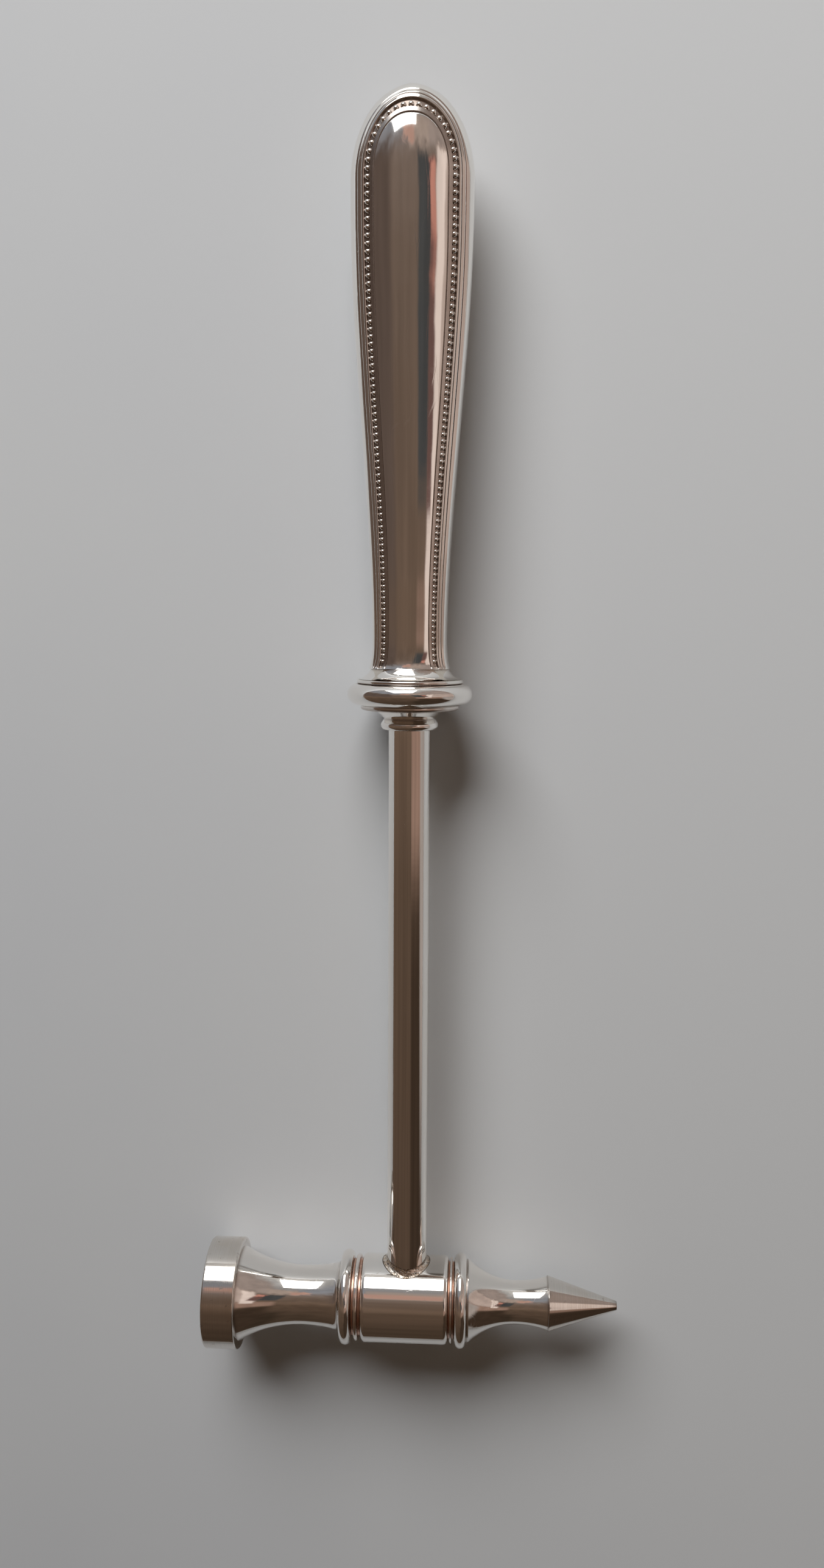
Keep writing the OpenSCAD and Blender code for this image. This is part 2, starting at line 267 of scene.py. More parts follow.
SILVER = silver("silver_plate")
SILVER_FLAT = silver("silver_plate_rod", wave=0.45)
SILVER_COPPER = silver("silver_plate_worn", film=0.8, copper=0.2, wave=0.5, polish=0.09)
STEEL = turned_steel("turned_steel")
BRAZE = braze_metal("braze_alloy")
INNER = plain_steel("inner_steel")
CEMENT = cement_grain("handle_cement")


# ---------------------------------------------------------------- mesh helpers
SHARP, SOFT = 38, 70                            # degrees from which an edge between faces stays sharp
ROUND_STEPS = 40                                # steps that a rounding of half a turn would have


def piece(name, points, faces, material, nodes, grime, sharp=SHARP):
    """Makes one piece from points in millimetres and lets it stand for CAD nodes."""
    mesh = bpy.data.meshes.new(name)
    mesh.from_pydata([tuple(p) for p in (np.asarray(points, float) + ORIGIN) * MM], [], faces)
    mesh.validate()
    mesh.shade_smooth()
    mesh.set_sharp_from_angle(angle=math.radians(sharp))
    held = mesh.attributes.new("grime", "FLOAT", "POINT")
    held.data.foreach_set("value", np.asarray(grime, np.float32))
    mesh.materials.append(material)
    obj = bpy.data.objects.new(name, mesh)
    bpy.context.scene.collection.objects.link(obj)
    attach(obj, "root")
    if nodes:
        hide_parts(*nodes)
    return obj


def rounded(line):
    """A line of (along, radius, rounding) corners, each eased by an arc of that rounding."""
    pts = [np.array(corner[:2], float) for corner in line]
    out = []
    for i, corner in enumerate(line):
        r = corner[2] if len(corner) > 2 else 0
        if r == 0 or i in (0, len(line) - 1):
            out.append(pts[i])
            continue
        a, b = pts[i - 1] - pts[i], pts[i + 1] - pts[i]
        la, lb = np.linalg.norm(a), np.linalg.norm(b)
        a, b = a / la, b / lb
        half = math.acos(max(-1, min(1, float(a @ b)))) / 2
        cut = min(r / math.tan(half), la * 0.49, lb * 0.49)
        r = cut * math.tan(half)
        middle = pts[i] + (a + b) / np.linalg.norm(a + b) * (r / math.sin(half))
        start, end = pts[i] + a * cut - middle, pts[i] + b * cut - middle
        bend = math.pi - 2 * half
        steps = max(3, int(ROUND_STEPS * bend / math.pi))
        for k in range(steps + 1):
            t = k / steps
            p = (math.sin((1 - t) * bend) * start + math.sin(t * bend) * end) / math.sin(bend) \
                if bend > 1e-4 else start * (1 - t) + end * t
            out.append(middle + p)
    return [(float(p[0]), float(p[1])) for p in out]


def arc(along, out, r, start, end, steps):
    """Points of an arc about (along, out); 0 degrees points along the axis, 90 away from it."""
    return [(along + r * math.cos(math.radians(a)), out + r * math.sin(math.radians(a)))
            for a in np.linspace(start, end, steps)]


def hollow(a0, r0, a1, r1, steps=26):
    """An arc that starts level at (a0, r0) and curves out to (a1, r1)."""
    dx, dr = a1 - a0, r1 - r0
    q = (dx * dx + dr * dr) / (2 * dr)
    out = []
    for i in range(1, steps + 1):
        d = dx * i / steps
        out.append((a0 + d, r0 + q - math.sqrt(q * q - d * d)))
    return out


def even(profile, longest):
    """Splits long straight runs, so that no band of faces is longer than that."""
    out = [profile[0]]
    for a, b in zip(profile, profile[1:]):
        n = max(1, math.ceil(math.dist(a, b) / longest))
        out += [(a[0] + (b[0] - a[0]) * k / n, a[1] + (b[1] - a[1]) * k / n)
                for k in range(1, n + 1)]
    return out


def turned(profile, axis, segments=192, ring=False):
    """Turns a profile about X or Y. ring closes the profile on itself, for a piece with a bore."""
    n = len(profile)
    angles = np.linspace(0, 2 * math.pi, segments, endpoint=False)
    points, index = [], []
    for along, r in profile:
        if r < 1e-9:
            index.append([len(points)] * segments)
            points.append((along, 0, 0) if axis == "X" else (0, along, 0))
            continue
        index.append(list(range(len(points), len(points) + segments)))
        for a in angles:
            c, s = r * math.cos(a), r * math.sin(a)
            points.append((along, c, s) if axis == "X" else (s, along, c))
    faces = []
    for i in range(n if ring else n - 1):
        lower, upper = index[i], index[(i + 1) % n]
        for k in range(segments):
            m = (k + 1) % segments
            face = []
            for v in (lower[k], lower[m], upper[m], upper[k]):
                if v not in face:
                    face.append(v)
            if len(face) > 2:
                faces.append(face[::-1])
    return np.array(points), outward(np.array(points), faces)


def outward(points, faces):
    """Turns every face round if the closed shape's volume comes out negative."""
    fans = np.array([(f[0], f[i], f[i + 1]) for f in faces for i in range(1, len(f) - 1)])
    a, b, c = (points[fans[:, k]] for k in range(3))
    volume = float(np.einsum("ij,ij->", a, np.cross(b, c)))
    return faces if volume > 0 else [f[::-1] for f in faces]


def crevice(points, axis, places):
    """Grime that gathers near given (along, radius, reach, strength) rings."""
    along, side = (0, 1) if axis == "X" else (1, 0)
    along, out = points[:, along], np.hypot(points[:, side], points[:, 2])
    grime = np.zeros(len(points))
    for a, r, reach, strength in places:
        d = np.hypot(along - a, out - r) / reach
        grime = np.maximum(grime, strength * np.exp(-d * d))
    return grime


def lathe(name, profile, axis, material, nodes, grime, ring=False, segments=192, longest=1.2):
    """One turned piece, with grime in its crevices and no band of faces longer than longest."""
    points, faces = turned(even(profile, longest), axis, segments, ring)
    return piece(name, points, faces, material, nodes, crevice(points, axis, grime))


def bore(obj, points, faces):
    """Cuts a hole with an exact boolean and throws the cutter away."""
    mesh = bpy.data.meshes.new("cutter")
    mesh.from_pydata([tuple(p) for p in (points + ORIGIN) * MM], [], faces)
    tool = bpy.data.objects.new("cutter", mesh)
    bpy.context.scene.collection.objects.link(tool)
    modifier = obj.modifiers.new("cut", "BOOLEAN")
    modifier.operation, modifier.solver, modifier.object = "DIFFERENCE", "EXACT", tool
    graph = bpy.context.evaluated_depsgraph_get()
    graph.update()
    made = bpy.data.meshes.new_from_object(obj.evaluated_get(graph))
    obj.modifiers.clear()
    obj.data = made
    bpy.data.objects.remove(tool)
    bpy.data.meshes.remove(mesh)
    obj.data.shade_smooth()
    obj.data.set_sharp_from_angle(angle=math.radians(SHARP))


# ---------------------------------------------------------------- head
face_x = -span("striking_disc", 0)[0]           # distances toward the striking face are kept positive
disc_x = -span("striking_disc", 0)[1]
disc_r = radius("striking_disc")
barrel_r = radius("head_barrel")
barrel_face, barrel_pick = -span("head_barrel", 0)[0], span("head_barrel", 0)[1]
neck_face = -span("neck_face", 0)[1]
neck_pick = span("neck_pick", 0)[0]
bead_out = radius("neck_face")
cone_x, tip_x = span("pick_point", 0)
cone_r = radius("pick_point")
fin_r = radius("spacer_ring_face")
rod_r = radius("rod", 0)
foot_y, rod_end = span("rod", 1)

STUD = 2.42                                     # radius of the bore for the stud
DEEP = 4.0                                      # how far that bore goes into the disc and the cone
BORE = rod_r + 0.02                             # radius of the bores for the rod
PAST = 12                                       # a height above the barrel's top
BEAD = 1.25                                     # radius of the bead on each neck
HUB = 7.2                                       # radius of the spacers beside their fins
face_waist, FACE_WAIST_R, FLARE_R = disc_x - 12.6, 5.65, 9.0
pick_waist, PICK_WAIST_R, PICK_END_R = cone_x - 6.3, 4.1, 5.05
TIP_R = 0.85


def flip(profile):
    """Mirrors a profile to the striking side."""
    return [(-a, *rest) for a, *rest in profile]


def neck_bead(start, last):
    """A neck's bore, its groove beside the spacer, and its bead up to an angle."""
    return ([(start, STUD), (start, 6.9), (start + 0.06, 7.15)]
            + arc(start + 0.1 + BEAD, bead_out - BEAD, BEAD, 188, last, 40))


def spacer_line(start, width, fin):
    """A hub with a thin rounded fin round its middle and a narrow groove each side."""
    a, b = start + (width - fin) / 2, start + (width + fin) / 2
    return rounded([(start, STUD), (start, HUB), (a, HUB, 0.12), (a, fin_r, fin * 0.42),
                    (b, fin_r, fin * 0.42), (b, HUB, 0.12), (start + width, HUB),
                    (start + width, STUD)])


lathe("striking_disc_turned", flip(
    rounded([(face_x, 0), (face_x - 0.02, 3), (face_x, disc_r - 0.9, 0.3), (face_x, disc_r, 0.38),
             (disc_x, disc_r, 0.30), (disc_x, STUD), (disc_x + DEEP, STUD), (disc_x + DEEP, 0)])),
    "X", STEEL, ["striking_disc"], [(-disc_x, 9.2, 0.35, 0.7)], longest=0.8)

neck_line = neck_bead(neck_face, 28)
neck_line += [(neck_face + 2.62, 7.45), (neck_face + 2.7, 6.95), (neck_face + 2.95, 6.62)]
neck_line += hollow(face_waist, FACE_WAIST_R, neck_face + 2.5, 6.6)[::-1][3:]
neck_line += [(face_waist, FACE_WAIST_R)] + hollow(face_waist, FACE_WAIST_R, disc_x, FLARE_R, 40)
neck_line += [(disc_x, STUD)]
lathe("neck_face_turned", flip(neck_line), "X", SILVER, ["neck_face"],
      [(-(neck_face + 2.75), 6.8, 0.28, 0.9), (-disc_x, FLARE_R, 0.30, 0.8),
       (-neck_face, HUB, 0.3, 0.9)],
      ring=True, longest=0.6)

lathe("spacer_ring_face_turned", flip(spacer_line(barrel_face, neck_face - barrel_face, 0.8)),
      "X", SILVER_COPPER, ["spacer_ring_face"],
      [(-(barrel_face + 0.2), HUB, 0.7, 1.0), (-(neck_face - 0.2), HUB, 0.7, 1.0)], ring=True)
lathe("spacer_ring_pick_turned", spacer_line(barrel_pick, neck_pick - barrel_pick, 0.45),
      "X", SILVER_COPPER, ["spacer_ring_pick"],
      [(barrel_pick + 0.1, HUB, 0.6, 1.0), (neck_pick - 0.1, HUB, 0.6, 1.0)], ring=True)

barrel = lathe("head_barrel_turned", rounded(
    [(-barrel_face, STUD), (-barrel_face, barrel_r, 1.0), (barrel_pick, barrel_r, 1.0),
     (barrel_pick, STUD)]),
    "X", SILVER_FLAT, ["head_barrel"],
    [(-barrel_face, 7.3, 0.35, 0.9), (barrel_pick, 7.3, 0.35, 0.9)], ring=True, longest=0.5)
bore(barrel, *turned([(foot_y - 0.2, 0), (foot_y - 0.2, BORE), (PAST, BORE), (PAST, 0)], "Y", 128))

neck_line = neck_bead(neck_pick, 12) + [(neck_pick + 2.66, 7.75)]
neck_line += hollow(pick_waist, PICK_WAIST_R, neck_pick + 2.8, 8.05, 44)[::-1][1:]
neck_line += [(pick_waist, PICK_WAIST_R)] + hollow(pick_waist, PICK_WAIST_R, cone_x, PICK_END_R, 20)
neck_line += [(cone_x, STUD)]
lathe("neck_pick_turned", neck_line, "X", SILVER, ["neck_pick"],
      [(neck_pick + 2.68, 7.7, 0.28, 0.9), (cone_x, PICK_END_R, 0.16, 0.7), (neck_pick, HUB, 0.3, 0.9)],
      ring=True, longest=0.6)

lathe("pick_point_turned", rounded(
    [(cone_x + DEEP, 0), (cone_x + DEEP, STUD), (cone_x, STUD), (cone_x, cone_r, 0.1),
     (cone_x + 0.22, cone_r, 0.1), (tip_x, TIP_R, 0.22), (tip_x, 0)]),
    "X", STEEL, ["pick_point"], [(tip_x, 0.3, 0.8, 1.0), (cone_x, cone_r, 0.14, 0.6)],
    longest=0.5)


# ---------------------------------------------------------------- rod, braze and collar
TANG_R, TANG_BORE = 2.5, 2.52
SIDE = 6                                        # a distance past the rod's sides
shoulder = span("ferrule", 1)[0] + 1
rod = lathe("rod_drawn", rounded(
    [(foot_y, 0), (foot_y, rod_r, 0.4), (3.2, rod_r), (shoulder, rod_r, 0.3), (shoulder, TANG_R),
     (rod_end, TANG_R, 0.5), (rod_end, 0)]),
    "Y", SILVER_FLAT, ["rod"],
    [(9.6, rod_r, 0.35, 0.6), (shoulder - 1.1, rod_r, 0.30, 0.9)], segments=160, longest=2.0)
bore(rod, *turned([(-SIDE, 0), (-SIDE, STUD), (SIDE, STUD), (SIDE, 0)], "X", 64))


def wobble(angle, seed):
    """A smooth, seeded unevenness round a ring."""
    rng = np.random.default_rng(seed)
    return sum(rng.uniform(-1, 1) / k ** 0.8 * np.sin(k * angle + rng.uniform(0, 6.28))
               for k in (1, 2, 3, 5, 7, 11, 16, 23))


def braze_ring():
    """The fillet of solder between rod and barrel: a hollow skirt that follows the barrel's round."""
    count, steps = 220, 16
    hollowness, skirt = 1.15, 0.12
    angles = np.linspace(0, 2 * math.pi, count, endpoint=False)
    reach = np.clip(0.85 + 0.10 * wobble(angles, 3), 0.6, 1.2)
    climb = np.clip(1.20 + 0.20 * wobble(angles, 8), 0.8, 1.9)
    inner = rod_r + 0.015
    loops = []
    for i, a in enumerate(angles):
        side = math.sin(a)

        def saddle(r):
            return math.sqrt(max(barrel_r ** 2 - (r * side) ** 2, 0))

        line = []
        for k in range(steps + 1):
            u = k / steps
            # a quarter of a hollow superellipse from the rod down to the barrel
            r = inner + reach[i] * (1 - math.cos(u * math.pi / 2)) ** hollowness
            h = climb[i] * (1 - math.sin(u * math.pi / 2)) ** hollowness
            lump = 0.10 * math.sin(u * math.pi) * float(wobble(np.array([a * 2 + u * 3]), 21)[0])
            line.append((r + lump, saddle(min(r, barrel_r)) + h + lump * 0.6 + 0.01))
        edge = inner + reach[i]
        line += [(edge - 0.02, saddle(edge) - skirt), (inner, saddle(inner) - skirt)]
        loops.append([(r * math.cos(a), y, r * side) for r, y in line])
    m = len(loops[0])
    points = np.array([p for loop in loops for p in loop])
    faces = []
    for i in range(count):
        j = (i + 1) % count
        for k in range(m):
            n = (k + 1) % m
            faces.append([i * m + k, i * m + n, j * m + n, j * m + k])
    step = np.arange(len(points)) % m
    grime = np.where(step >= steps - 1, 0.9, np.where(step <= 1, 0.5, 0.0))
    return piece("braze_fillet_flowed", points, outward(points, faces), BRAZE,
                 ["braze_fillet"], grime, sharp=60)


braze_ring()

ferrule_y, flange_y = span("ferrule", 1)
bolster_y, cap_y = span("bolster_ring", 1)
flange_r = radius("flange_ring")
bolster_r = radius("bolster_ring")
ferrule_r = radius("ferrule")
lip_r = radius("cap_ring")
shell_y = span("handle_shell_front", 1)[0]
spigot_y = span("cap_ring", 1)[1]
LIP = 0.44                                      # rounding of the lip over the ring
SPIGOT_R = 5.0                                  # the part of the lip's ring that goes into the handle
COVE_R, COVE_FROM = 7.25, 35                    # where the cove meets the shells, and its first angle

lathe("ferrule_turned", rounded(
    [(ferrule_y, BORE), (ferrule_y, 5.12, 0.35), (ferrule_y + 0.5, 5.44, 0.8),
     (ferrule_y + 1.15, 5.44, 0.8), (ferrule_y + 1.90, 4.90, 0.2), (ferrule_y + 2.05, 4.84, 0.1),
     (flange_y, ferrule_r), (flange_y, TANG_BORE), (shoulder, TANG_BORE), (shoulder, BORE)]),
    "Y", SILVER_FLAT, ["ferrule"],
    [(flange_y, ferrule_r, 0.25, 0.9), (ferrule_y, BORE, 0.5, 0.9),
     (ferrule_y + 1.98, 4.87, 0.12, 0.8)], ring=True, longest=0.5)
lathe("flange_ring_turned", rounded(
    [(flange_y, TANG_BORE), (flange_y, flange_r, 0.62), (bolster_y, flange_r, 0.3),
     (bolster_y, TANG_BORE)]),
    "Y", SILVER_FLAT, ["flange_ring"],
    [(flange_y + 0.25, flange_r - 0.25, 0.45, 1.0), (bolster_y, flange_r, 0.22, 0.8)],
    ring=True, longest=0.5)
middle = (bolster_y + cap_y) / 2
big = (cap_y - bolster_y) / 2
lathe("bolster_ring_turned",
      [(bolster_y, TANG_BORE)] + arc(middle, bolster_r - big, big, 180, 0, 56) + [(cap_y, TANG_BORE)],
      "Y", SILVER_FLAT, ["bolster_ring"],
      [(cap_y, bolster_r - big, 0.32, 0.9), (bolster_y, bolster_r - big, 0.32, 0.9)],
      ring=True, segments=256, longest=0.7)
cove = []
first = math.radians(COVE_FROM)
for a in np.radians(np.linspace(90, COVE_FROM, 30)):
    rise = (math.sin(a) - math.sin(first)) / (1 - math.sin(first))
    reach = 1 - math.cos(a) / math.cos(first)
    cove.append((shell_y - (shell_y - cap_y - 0.9) * rise, COVE_R + (lip_r - 0.1 - COVE_R) * reach))
lathe("cap_ring_turned",
      [(cap_y, TANG_BORE), (cap_y, lip_r - LIP)] + arc(cap_y + LIP, lip_r - LIP, LIP, 180, 12, 18)
      + cove + [(shell_y, SPIGOT_R), (spigot_y, SPIGOT_R), (spigot_y, TANG_BORE)],
      "Y", SILVER_FLAT, ["cap_ring"],
      [(cap_y, lip_r - 0.3, 0.30, 0.9), (shell_y, COVE_R, 0.35, 0.9)],
      ring=True, segments=256, longest=0.5)


# ---------------------------------------------------------------- handle
tip_y = span("handle_shell_front", 1)[1]
CAD_WALL, WALL = 0.9, 0.86                      # the visual wall is a hair thinner, clear of the filler
belly_w = radius("handle_shell_front", 0)
belly_t = radius("handle_filler", 2) + CAD_WALL
ARCH = 16.0                                     # length of the round end
arch_y = tip_y - ARCH
WAIST_W, WAIST_T = 13.9 / 2, 12.9 / 2
waist_y, belly_y = shell_y + 2.8, arch_y - 3.4
FLARE, FLARE_RUN = 0.7, 1.5                     # how the waist opens to the collar, and over what length
END_FULL = 2.6                                  # fullness of the round end, seen from the side
# share of the thickness in the upright side, at the waist and at the belly
RIM_LOW, RIM_HIGH = 0.535, 0.20
EDGE = 0.6                                      # plan width of the side's rounding
CROWN = 0.8                                     # 0.5 would be an elliptic crown, 1 a parabolic one


def ease(v):
    v = np.clip(v, 0, 1)
    return v * v * (3 - 2 * v)


def growth(y):
    """How far the handle has grown from its waist (0) to its belly (1)."""
    return ease((y - waist_y) / (belly_y - waist_y))


def half_sizes(y, inset=0.0):
    """Half-width and half-thickness of the smooth handle at a height."""
    y = np.asarray(y, float)
    grow = growth(y)
    foot = FLARE * np.exp((shell_y - y) / FLARE_RUN)
    w = WAIST_W + (belly_w - WAIST_W) * grow + foot - inset
    t = WAIST_T + (belly_t - WAIST_T) * grow + foot - inset
    u = np.clip((y - arch_y) / (ARCH - inset), 0, 1)
    arch = y > arch_y
    w = np.where(arch, (belly_w - inset) * np.sqrt(1 - u * u), w)
    t = np.where(arch, (belly_t - inset) * (1 - u ** END_FULL) ** (1 / END_FULL), t)
    return w, t


# The border's bands are laid out by level, the distance in from the outline where the handle is widest.
# From the outline inward: smooth side, groove, ridge, groove, thin ridge, the beads' channel, ledge,
# groove, and the crowned panel. Each pair is a level and its relief.
BEAD_LEVEL, PANEL_LEVEL, TOP_LEVEL = 3.2, 4.66, 11.1
LEVELS = np.array([
    (0.00, 0.00), (1.20, 0.00), (1.34, -0.04), (1.50, -0.15), (1.56, 0.00), (1.99, 0.00),
    (2.08, -0.03), (2.20, -0.12), (2.26, 0.00), (2.56, 0.00), (2.66, -0.12), (2.78, -0.44),
    (BEAD_LEVEL, -0.48), (3.68, -0.45), (3.76, -0.10), (4.31, -0.10), (4.44, -0.14), (4.60, -0.25),
    (PANEL_LEVEL, 0.00), (TOP_LEVEL, 0.00)])
# how far in from the tip each level lies, at the arch's top
ARCH_FROM = np.array([0, 1.42, 2.12, 2.60, BEAD_LEVEL, 3.80, 4.50, PANEL_LEVEL, TOP_LEVEL])
ARCH_TO = np.array([0, 2.10, 2.85, 3.70, 4.80, 5.50, 6.40, 6.62, ARCH])
# shape of the arch in plan at the outline, the beads and the panel: 1 is an ellipse, less is fuller
PLAN_FULL = [1.0, 0.93, 0.89]
# the border's width at the collar, what it gains toward the belly, and where and over what length
BAND_LEAST, BAND_GAIN, BAND_FROM, BAND_RUN = 0.72, 0.28, 132, 75


def smooth_through(x, knots):
    """Monotone cubic through (x, y) knots, so that the bands have round edges and no overshoot."""
    kx, ky = knots[:, 0], knots[:, 1]
    h, d = np.diff(kx), np.diff(ky) / np.diff(kx)
    m = np.zeros(len(kx))
    same = d[:-1] * d[1:] > 0
    w1, w2 = 2 * h[1:] + h[:-1], h[1:] + 2 * h[:-1]
    with np.errstate(divide="ignore", invalid="ignore"):
        inner = (w1 + w2) / (w1 / d[:-1] + w2 / d[1:])
    m[1:-1] = np.where(same, inner, 0)
    i = np.clip(np.searchsorted(kx, x, side="right") - 1, 0, len(kx) - 2)
    s = (x - kx[i]) / h[i]
    return (ky[i] * (1 + 2 * s) * (1 - s) ** 2 + m[i] * h[i] * s * (1 - s) ** 2
            + ky[i + 1] * s * s * (3 - 2 * s) + m[i + 1] * h[i] * s * s * (s - 1))


def band_scale(y):
    """How wide the border is, against its width at the belly."""
    return BAND_LEAST + BAND_GAIN * np.clip((y - BAND_FROM) / BAND_RUN, 0, 1)


def body_point(level, y):
    """Place in plan on the straight part: (x, y) of a level at a height."""
    w, _ = half_sizes(y)
    k = band_scale(y)
    edge = PANEL_LEVEL * k
    inside = edge + (level - PANEL_LEVEL) / (TOP_LEVEL - PANEL_LEVEL) * (w - edge)
    return w - np.where(level < PANEL_LEVEL, level * k, inside), y


def arch_point(level, angle):
    """Place in plan on the arch, at an angle from the widest place (0) to the top (90 degrees)."""
    deep = ARCH - np.interp(level, ARCH_FROM, ARCH_TO)
    full = np.interp(level, [0, BEAD_LEVEL, PANEL_LEVEL], PLAN_FULL)
    across, along = np.clip(np.cos(angle), 0, 1) ** full, np.clip(np.sin(angle), 0, 1) ** full
    return (belly_w - level) * across, arch_y + deep * along


def height(x, y, inset=0.0):
    """Half-thickness at a place: an upright side with a soft edge, and a low crown over it."""
    w, t = half_sizes(y, inset)
    share = np.clip(np.abs(x) / np.maximum(w, 1e-9), 0, 1)
    rim = RIM_LOW + (RIM_HIGH - RIM_LOW) * growth(y)
    near = np.clip((1 - share) * np.where(y > arch_y, belly_w, w) / EDGE, 0, 1)
    return t * (rim * np.sqrt(near * (2 - near)) + (1 - rim) * (1 - share * share) ** CROWN)


def facing(x, y):
    """Outward direction of the smooth handle at a place that isn't on its outline."""
    e = 0.01
    slope = np.array([float(height(x - e, y) - height(x + e, y)),
                      float(height(x, y - e) - height(x, y + e)), 2 * e])
    return slope / np.linalg.norm(slope)


def grid_normals(pts):
    """Outward directions of a grid of points (rows x levels)."""
    n = np.cross(np.gradient(pts, axis=0), np.gradient(pts, axis=1))
    size = np.linalg.norm(n, axis=-1, keepdims=True)
    return np.where(size > 1e-9, n / np.maximum(size, 1e-9), np.array([0.0, 0.0, 1.0]))


def shell_rows():
    """Row places: (kind, value), where kind 0 is a height on the body and 1 an angle on the arch."""
    lower = [0, 0.12, 0.25, 0.45, 0.7, 1.0, 1.4, 1.9, 2.5, 3.2, 4.0, 4.8]
    step = 0.85
    rows = [(0, shell_y + v) for v in lower]
    rows += [(0, y) for y in np.arange(shell_y + 5.6, arch_y - 0.4, step)] + [(0, arch_y)]
    rows += [(1, a) for a in np.linspace(0, math.pi / 2, 76)[1:]]
    return rows


def shell_levels():
    """Column levels: close together at the seam and over the bands, wider over the panel."""
    side = [EDGE * (1 - math.cos(a)) for a in np.linspace(0, math.pi / 2, 13)]
    bands = [0.66, 0.74, 0.83, 0.92, 1.02, 1.12]
    widest = 0.075
    for low, high in zip(LEVELS[1:-1, 0], LEVELS[2:, 0]):
        steps = max(3, math.ceil((high - low) / widest)) if high <= PANEL_LEVEL else 0
        bands += [low + (high - low) * k / steps for k in range(steps)]
    return np.array(side + bands + list(np.linspace(PANEL_LEVEL, 6.4, 14))
                    + list(np.linspace(6.6, TOP_LEVEL, 20)))


SEAM, SEAM_WIDE = 0.07, 0.28                    # depth and half-width of the seam's groove
RUN_OUT = 0.35                                  # length over which the bands run out above the collar
DIRTY = 0.16                                    # relief from which a groove is full of grime


def surface(levels, rows):
    """Outer skin of one quarter: an array rows x levels of points, and how grimy each is."""
    pts = np.zeros((len(rows), len(levels), 3))
    for i, (kind, v) in enumerate(rows):
        x, y = arch_point(levels, v) if kind else body_point(levels, np.full(len(levels), v))
        pts[i, :, 0], pts[i, :, 1] = x, y
    x, y = pts[..., 0], pts[..., 1]
    z = height(x, y)
    z[:, 0] = 0
    pts[..., 2] = z
    relief = np.broadcast_to(smooth_through(levels, LEVELS), z.shape).copy()
    # the bands run out into the plain metal just above the collar
    relief *= ease((y - shell_y - 0.1) / RUN_OUT)
    # a fine seam where the two halves are soldered
    seam = SEAM * np.maximum(0, 1 - z / SEAM_WIDE) ** 2
    n = grid_normals(pts)
    moved = pts + n * (relief - seam)[..., None]
    moved[..., 0] = np.where(levels[None, :] >= TOP_LEVEL - 1e-9, 0, moved[..., 0])
    moved[-1, :, 0] = 0
    moved[:, 0, 2] = 0
    return moved, np.clip(-relief / DIRTY, 0, 1)


def mirrored(grid):
    """Joins a quarter with its mirror image across X: rows x (levels left, middle, levels right)."""
    left = grid[:, ::-1].copy()
    left[..., 0] *= -1
    return np.concatenate([grid[:, :-1], left], axis=1)


def shell(side, name, node):
    """One half shell, above the seam for side 1 and below it for side -1."""
    rows, levels = shell_rows(), shell_levels()
    outer, deep = surface(levels, rows)
    # the inside is smooth, follows the same rows and has a column for every seventh level
    few = sorted({*range(0, len(levels), 7), len(levels) - 1})
    inner = np.zeros((len(rows), len(few), 3))
    for i, (kind, v) in enumerate(rows):
        for c, j in enumerate(few):
            share = 1 - levels[j] / TOP_LEVEL
            if kind:
                x = (belly_w - WALL) * share * math.cos(v)
                y = arch_y + (ARCH - WALL) * share * math.sin(v)
            else:
                w, _ = half_sizes(v, WALL)
                x, y = float(w) * share, v
            inner[i, c] = (x, y, float(height(x, y, WALL)) if j else 0.0)
    outer, inner = mirrored(outer), mirrored(inner)
    deep = np.concatenate([deep[:, :-1], deep[:, ::-1]], axis=1)
    few_all = few + [2 * (len(levels) - 1) - j for j in few[:-1][::-1]]
    n_rows, n_out = outer.shape[:2]
    n_in = inner.shape[1]
    points = np.concatenate([outer.reshape(-1, 3), inner.reshape(-1, 3)])
    base = n_rows * n_out

    def o(i, j):
        return i * n_out + j

    def q(i, j):
        return base + i * n_in + j

    faces = []
    for i in range(n_rows - 1):
        for j in range(n_out - 1):
            faces.append([o(i, j), o(i + 1, j), o(i + 1, j + 1), o(i, j + 1)])
        for j in range(n_in - 1):
            faces.append([q(i, j), q(i, j + 1), q(i + 1, j + 1), q(i + 1, j)])
        # the seam's flat rims, left and right
        faces.append([o(i, 0), q(i, 0), q(i + 1, 0), o(i + 1, 0)])
        faces.append([o(i, n_out - 1), o(i + 1, n_out - 1), q(i + 1, n_in - 1), q(i, n_in - 1)])
    # the lower rim, between many points outside and few inside
    for c in range(n_in - 1):
        for j in range(few_all[c], few_all[c + 1]):
            faces.append([q(0, c), o(0, j), o(0, j + 1)])
        faces.append([q(0, c), o(0, few_all[c + 1]), q(0, c + 1)])
    points[:, 2] *= side
    points, faces, index = welded(points, faces)
    shade = np.zeros(base + n_rows * n_in)
    shade[:base] = deep.reshape(-1)
    return piece(name, points, outward(points, faces), SILVER, [node], shade[index],
                 sharp=SOFT)


def welded(points, faces):
    """Joins points that lie on each other and drops the faces that vanish."""
    keys = np.round(points, 5) + 0.0
    _, index, inverse = np.unique(keys, axis=0, return_index=True, return_inverse=True)
    inverse = inverse.reshape(-1)
    out = []
    for f in faces:
        g = []
        for v in f:
            v = int(inverse[v])
            if v not in g:
                g.append(v)
        if len(g) > 2:
            out.append(g)
    return points[index], out, index


# the beads' spacing along the channel, at heights from the collar to the tip
PITCH_AT, PITCH = [130, 150, 160, 182, 200, 223], [1.03, 1.06, 1.18, 1.22, 1.37, 1.43]
BEAD_R, BEAD_RISE = 0.545, 0.98                 # radius at the belly, and height as a share of it
CHANNEL = -0.51                                 # where the beads stand, below the smooth handle
SUNK = 0.06                                     # how far their rims go in below that


